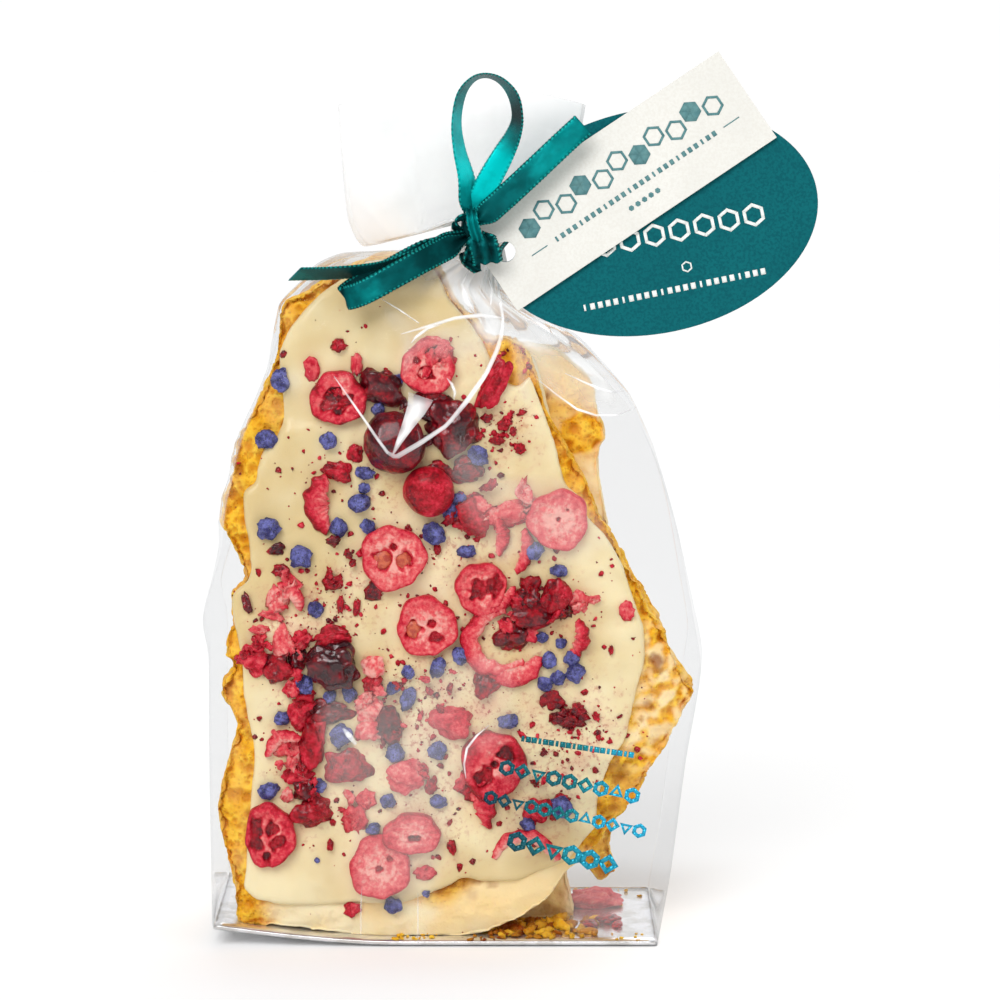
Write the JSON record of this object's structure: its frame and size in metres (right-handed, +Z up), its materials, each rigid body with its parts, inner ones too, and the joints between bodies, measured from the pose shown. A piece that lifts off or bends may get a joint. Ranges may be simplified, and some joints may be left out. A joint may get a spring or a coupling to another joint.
{
  "type": "bag of honeycomb toffee",
  "caption": "Clear film gift bag of honeycomb toffee shards coated in white chocolate and dried fruit, tied with a satin ribbon bow and hung with card swing tags.",
  "frame": {"origin": "middle of the flat underside of the block-bottom bag, on the surface it stands on", "axes": "+Z up through the tied neck, -Y towards the front with the printed film and the tags, +X to the right seen from the front"},
  "size_m": [0.1496, 0.0572, 0.216],
  "materials": {
    "clear_film": "clear crinkled film",
    "satin_ribbon": "satin, stitched edges",
    "cream_card": "matte",
    "teal_card": "matte",
    "honeycomb": "brittle, full of small bubbles",
    "white_chocolate": "soft sheen",
    "cranberry": "dry, crinkled",
    "dark_fruit": "dry, partly glossy",
    "violet_candy": "sugared",
    "base_card": "smooth, silver cut edge",
    "foil_print": "foil"
  },
  "bodies": {
    "root": {"bag": "clear_film", "ribbon": "satin_ribbon", "tag_cream": "cream_card", "tag_oval": "teal_card"}
  },
  "joints": []
}
